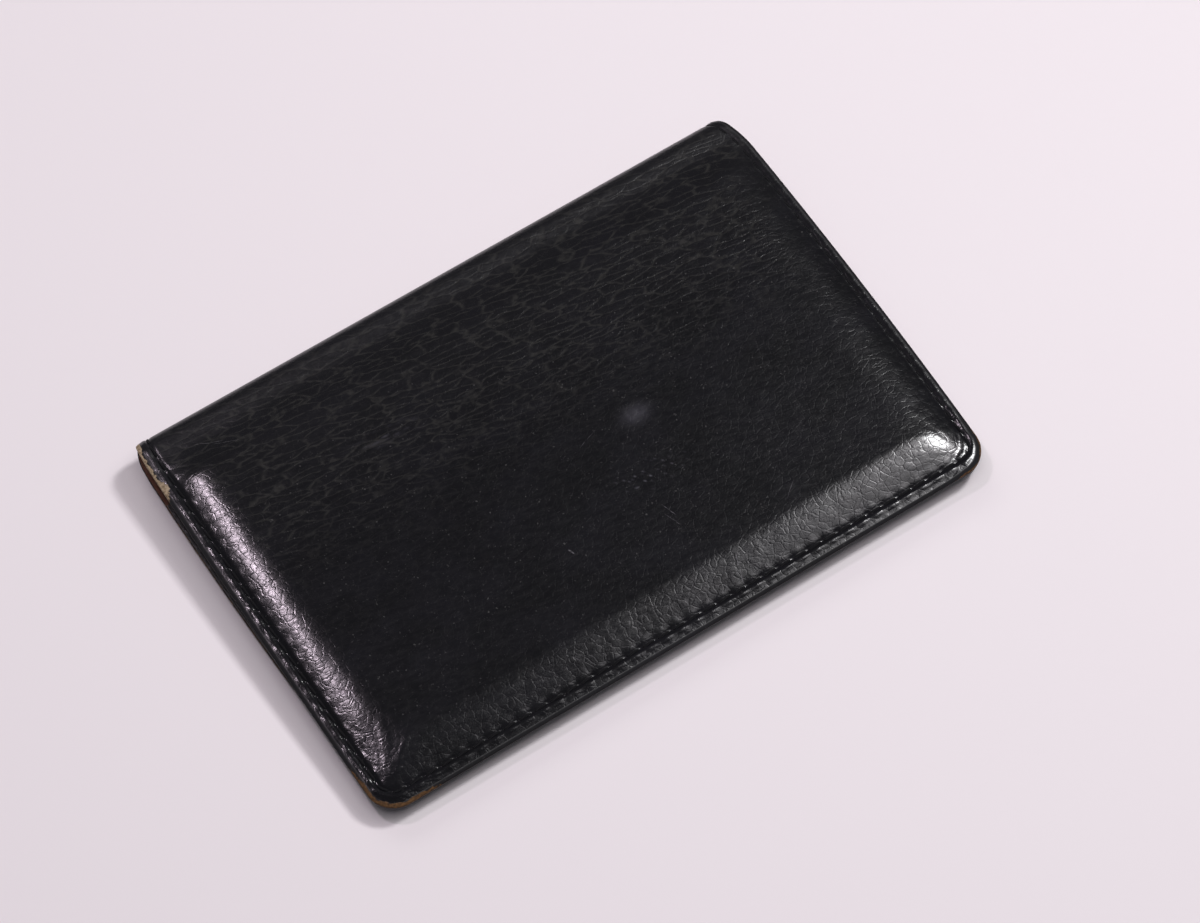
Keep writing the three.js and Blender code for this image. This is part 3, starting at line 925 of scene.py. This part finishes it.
def pocket_face(side):
    """The visible face of a pocket panel: seam, creased mouth, and a slight belly from cards."""

    def height(x, v):
        e = side.seam_distance(x, v)
        along, across = around_holes(side, x, v, e, HALF_SPINE + MOUTH_FROM_SPINE)
        mouth = v - HALF_SPINE - MOUTH_FROM_SPINE
        belly = 0.10 * smooth(2.0, 7.0, e) * smooth(2.0, 9.0, side.fore_v(x) - v)
        line = -0.07 * bump(mouth - 1.3, 0.22)
        seam = -0.11 * bump(e, 0.34) - 0.09 * bump(along, 0.4) * bump(across, 0.34)
        soft = 0.03 * noise(x / 12, v / 9, 51) * smooth(0.0, 12.0, e)
        card = -0.05 * bump(np.abs(x - 0.5) - 43.5, 0.9) * smooth(4, 9, mouth) * smooth(3.0, 7.0, e)
        return POCKET_TOP - POCKET_LEATHER - (mouth_lift(v, e) + belly + line + seam + soft + card)

    return height


def pocket_back(side):
    return lambda x, v: POCKET_TOP - mouth_lift(v, side.seam_distance(x, v))


def lining_wear(side, x, v, edge):
    """paint is the black edge paint on the cut edge, worn off at the left end of the spine."""
    worn = np.where(x < 0, 1 - smooth(11.5, 13.5, v), 0)
    at_border = side.edge_distance(x, v) < 0.3
    return {"paint": (edge > 0) * (edge < INNER) * at_border * (1 - worn)}


def pocket_wear(side, x, v, edge):
    """raw is where cards have rubbed the mouth."""
    return {"raw": 0.8 * bump(v - HALF_SPINE - MOUTH_FROM_SPINE, 0.35)}


def groove_floor(side, x, v):
    """Where a stitch rests: the bottom of the outer groove, without the needle holes."""
    return -0.19 + 0.03 * at_fore(side, x, v)


def inner_groove_floor(side, x, v):
    return np.full(x.shape, POCKET_TOP - POCKET_LEATHER + 0.03)


def tube_faces(base, length, around):
    """The faces of a closed tube whose points start at base: length rings of around points."""
    faces = []
    for k in range(length - 1):
        for a in range(around):
            b = (a + 1) % around
            one, two = base + k * around, base + (k + 1) * around
            faces.append([one + a, one + b, two + b, two + a])
    faces.append([base + a for a in range(around)][::-1])
    faces.append([base + (length - 1) * around + a for a in range(around)])
    return faces


def stitches(name, side, start, height, lean, seed):
    """One row of separate stitches along the seam, each dipping into its needle holes."""
    rng = np.random.default_rng(seed)
    path, step = side.seam_path(start)
    holes = hole_places(path, step)
    places = np.arange(len(path))
    length, around = 9, 8
    t = np.linspace(-1, 1, length)
    angle = np.linspace(0, 2 * math.pi, around, endpoint=False)
    thin = np.sqrt(np.maximum(1 - np.abs(t) ** 5, 0.03))
    wide, tall = THREAD_WIDTH / 2 * thin, THREAD_HEIGHT / 2 * thin
    points, faces, uvs = [], [], []
    for number, (begin, end) in enumerate(zip(holes[:-1], holes[1:])):
        reach = 0.5 * (end - begin) * (0.90 + 0.03 * rng.standard_normal())
        at = np.clip((begin + end) / 2 + t * reach, 0, len(path) - 1)
        x = np.interp(at, places, path[:, 0])
        v = np.interp(at, places, path[:, 1])
        way = np.stack([np.gradient(x), np.gradient(v)], 1)
        way /= np.linalg.norm(way, axis=1)[:, None]
        aside = np.stack([way[:, 1], -way[:, 0]], 1)
        offset = t * (0.05 + 0.02 * rng.standard_normal())
        x, v = x + aside[:, 0] * offset, v + aside[:, 1] * offset
        h = height(side, x, v) + lean * (tall - 0.20 * np.abs(t) ** 3)
        ring_x = x[:, None] + (aside[:, 0] * wide)[:, None] * np.cos(angle)
        ring_v = v[:, None] + (aside[:, 1] * wide)[:, None] * np.cos(angle)
        ring_h = h[:, None] + tall[:, None] * np.sin(angle)
        faces += tube_faces(len(points) * length * around, length, around)
        points.append(side.place(ring_x, ring_v, ring_h).reshape(-1, 3))
        along = (t * 1.2 + number * STITCH)[:, None] + 0 * ring_x
        uvs.append(np.stack([along, angle * 0.2 + 0 * ring_x], -1).reshape(-1, 2))
    return build_mesh(name, np.concatenate(points), faces, np.concatenate(uvs))


def bend(piece, side):
    """Bakes the world transform into the mesh of a piece that crosses a fold, for the front and the back
    alike.
    """
    if side is front:
        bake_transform(piece)
    else:
        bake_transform(piece)


def pad_grid(side):
    """The pad's outline: inside the seam and short of the spine."""
    v_start = HALF_SPINE + SWELL_FROM_SPINE
    x, v = strip_grid(side, 1.2, 0.0, v_start)
    return x * (1 - 3.4 / HALF_WIDTH), v_start + (v - v_start) * (1 - 4.2 / 62.4)


def finish_piece(piece, material, slot, *replaced):
    piece.data.materials.append(material)
    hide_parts(*replaced)


leather = outer_leather_material()
lining = lining_material()
pocket_leather = pocket_material()
thread = thread_material()
felt = pad_material()

# The front cover faces the camera, so its grid is the finer one.
for side, step, wear in ((front, 0.29, front_wear), (back, 0.5, back_wear)):
    name = side.name
    mouth_v = HALF_SPINE + MOUTH_FROM_SPINE

    grid = strip_grid(side, step, 0.2, 0.0, True)
    faces = (outside(side), inside(side))
    piece = build_strip(f"{name}_outer_leather", side, grid, *faces, (0.2, 0.08), True, wear)
    finish_piece(piece, leather, "outer_leather", f"{name}_cover_leather", "spine_leather")
    bend(piece, side)

    grid = strip_grid(side, 1.0, 0.12, 0.0, True)
    faces = (level(LINING_TOP), level(LINING_TOP - LINING))
    piece = build_strip(f"{name}_inner_lining", side, grid, *faces, (0.05, 0.05), True, lining_wear)
    finish_piece(piece, lining, "lining", f"{name}_lining", "spine_lining")
    bend(piece, side)

    grid = strip_grid(side, 0.6, 0.2, mouth_v)
    faces = (pocket_face(side), pocket_back(side))
    piece = build_strip(f"{name}_card_pocket", side, grid, *faces, (0.1, 0.05), False, pocket_wear)
    finish_piece(piece, pocket_leather, "pocket_leather", f"{name}_pocket_panel")
    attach(piece, name)

    piece = stitches(f"{name}_outer_stitches", side, 0.0, groove_floor, 1, 61)
    finish_piece(piece, thread, "thread", f"{name}_outer_thread", "spine_thread_left", "spine_thread_right")
    bend(piece, side)

    piece = stitches(f"{name}_inner_stitches", side, mouth_v, inner_groove_floor, -1, 62)
    finish_piece(piece, thread, "thread", f"{name}_inner_thread")
    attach(piece, name)

for side in (front, back):
    faces = (pad_top(side), level(-LEATHER - 0.05))
    piece = build_strip(f"{side.name}_felt_pad", side, pad_grid(side), *faces, (0.05, 0.02))
    finish_piece(piece, felt, "pad", f"{side.name}_pad")
    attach(piece, side.name)


# ---- Stage, camera and light ----


def build_floor():
    size = 3.0
    corners = [(-size, -size, 0), (size, -size, 0), (size, size, 0), (-size, size, 0)]
    mesh = bpy.data.meshes.new("table")
    mesh.from_pydata(corners, [], [(0, 1, 2, 3)])
    table = add_object("table", mesh)
    table.data.materials.append(floor_material())


def build_camera():
    azimuth, elevation, distance = math.radians(-33.48), math.radians(60.837), 0.823
    aim = Vector((4.338, -3.367, 3.0)) * MM
    level_part = math.cos(elevation)
    back_way = Vector((math.sin(azimuth) * level_part, -math.cos(azimuth) * level_part, math.sin(elevation)))
    data = bpy.data.cameras.new("camera")
    data.sensor_width = 36.0
    data.lens = 166.96
    data.clip_start, data.clip_end = 0.01, 20.0
    camera = add_object("camera", data)
    camera.location = aim + back_way * distance
    camera.rotation_mode = "QUATERNION"
    camera.rotation_quaternion = (-back_way).to_track_quat("-Z", "Y")
    bpy.context.scene.camera = camera


def area_light(name, direction, distance, size, power, colour, mirrored=True):
    """A lamp that faces the object. One that isn't mirrored lights it without a highlight."""
    data = bpy.data.lights.new(name, "AREA")
    data.shape = "RECTANGLE"
    data.size, data.size_y = size
    data.energy = power
    data.color = colour
    light = add_object(name, data)
    way = Vector(direction).normalized()
    light.location = way * distance
    light.rotation_mode = "QUATERNION"
    light.rotation_quaternion = way.to_track_quat("Z", "Y")
    light.visible_glossy = mirrored


build_floor()
build_camera()
# Four small lamps whose reflections make the highlights, then two large ones for soft light only.
area_light("left_lamp", (-0.214, 0.375, 0.902), 0.7, (0.05, 0.05), 0.73, (1.0, 0.84, 0.97))
area_light("right_lamp", (0.555, 0.020, 0.832), 0.7, (0.11, 0.11), 2.15, (1.0, 0.99, 1.0))
area_light("front_softbox", (0.48, -0.15, 0.864), 0.7, (0.25, 0.25), 0.48, (1.0, 0.97, 1.0))
area_light("rim_lamp", (0.46, -0.02, 0.888), 0.7, (0.17, 0.17), 0.25, (1.0, 0.96, 1.0))
area_light("rear_softbox", (0.02, 0.805, 0.593), 0.9, (0.60, 0.35), 1.12, (1.0, 1.0, 0.98), False)
area_light("top_softbox", (-0.05, -0.12, 0.990), 0.9, (0.55, 0.55), 2.16, (1.0, 0.985, 1.0), False)
world = bpy.data.worlds.new("room")
world.use_nodes = True
background = world.node_tree.nodes["Background"]
background.inputs["Color"].default_value = (0.92, 0.90, 1.0, 1)
background.inputs["Strength"].default_value = 0.10
bpy.context.scene.world = world
bpy.context.scene.view_settings.view_transform = "Standard"
